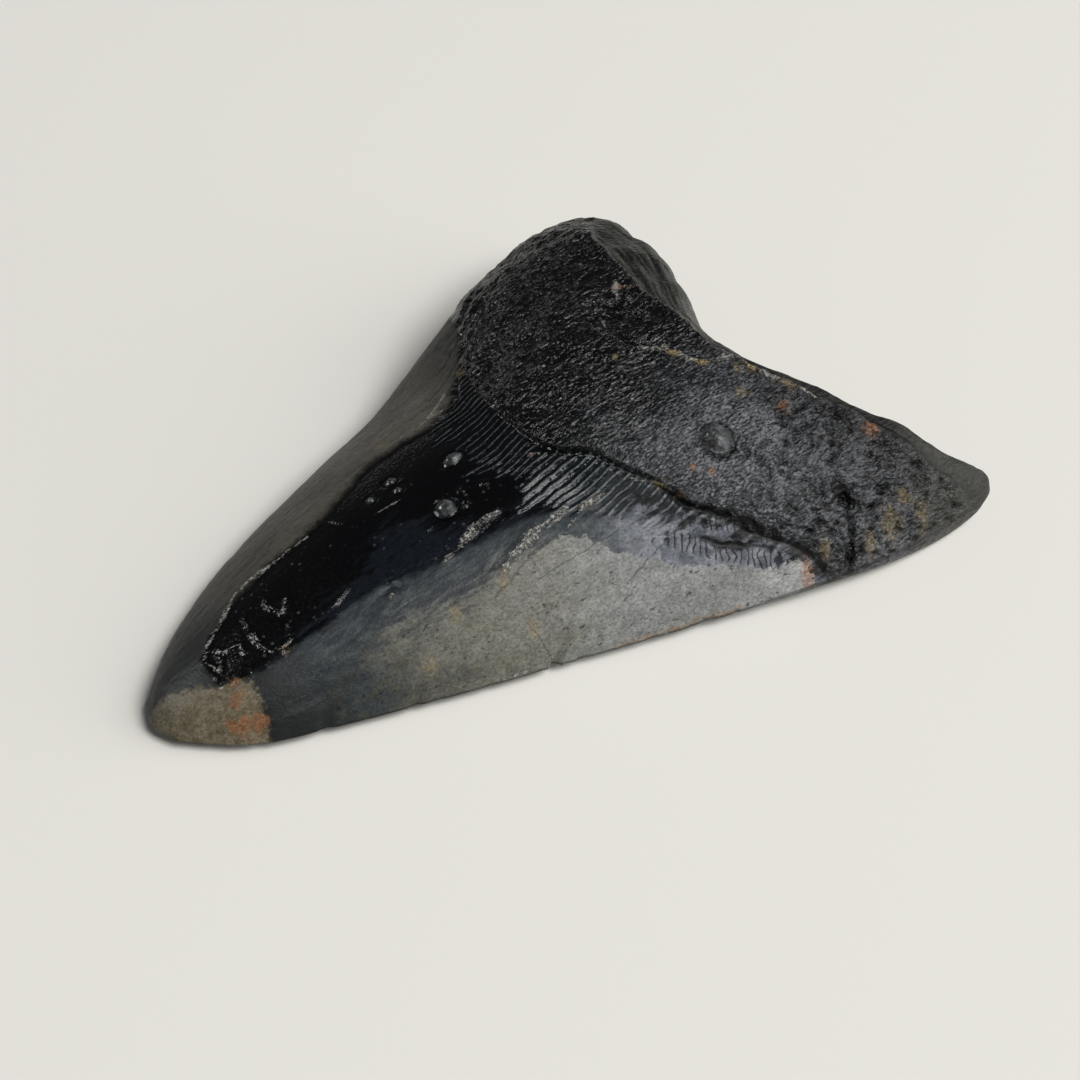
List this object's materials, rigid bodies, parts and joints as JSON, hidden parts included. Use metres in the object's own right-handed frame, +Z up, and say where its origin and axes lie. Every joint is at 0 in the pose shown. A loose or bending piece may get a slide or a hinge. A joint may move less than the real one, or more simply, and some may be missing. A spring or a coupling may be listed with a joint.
{
  "type": "megalodon tooth",
  "caption": "Fossil megalodon tooth: a triangular domed crown with worn cutting edges and tip, and a thick two-lobed root.",
  "frame": {"origin": "middle of the bounding box's bottom, on the surface that the tooth lies on", "axes": "+X from the tip to the root, +Y towards the blunt root lobe, +Z up through the domed lingual face"},
  "size_m": [0.1016, 0.0712, 0.0196],
  "materials": {
    "fossil": "satin enamel over a granular root"
  },
  "bodies": {
    "root": {"tooth": "fossil"}
  },
  "joints": []
}
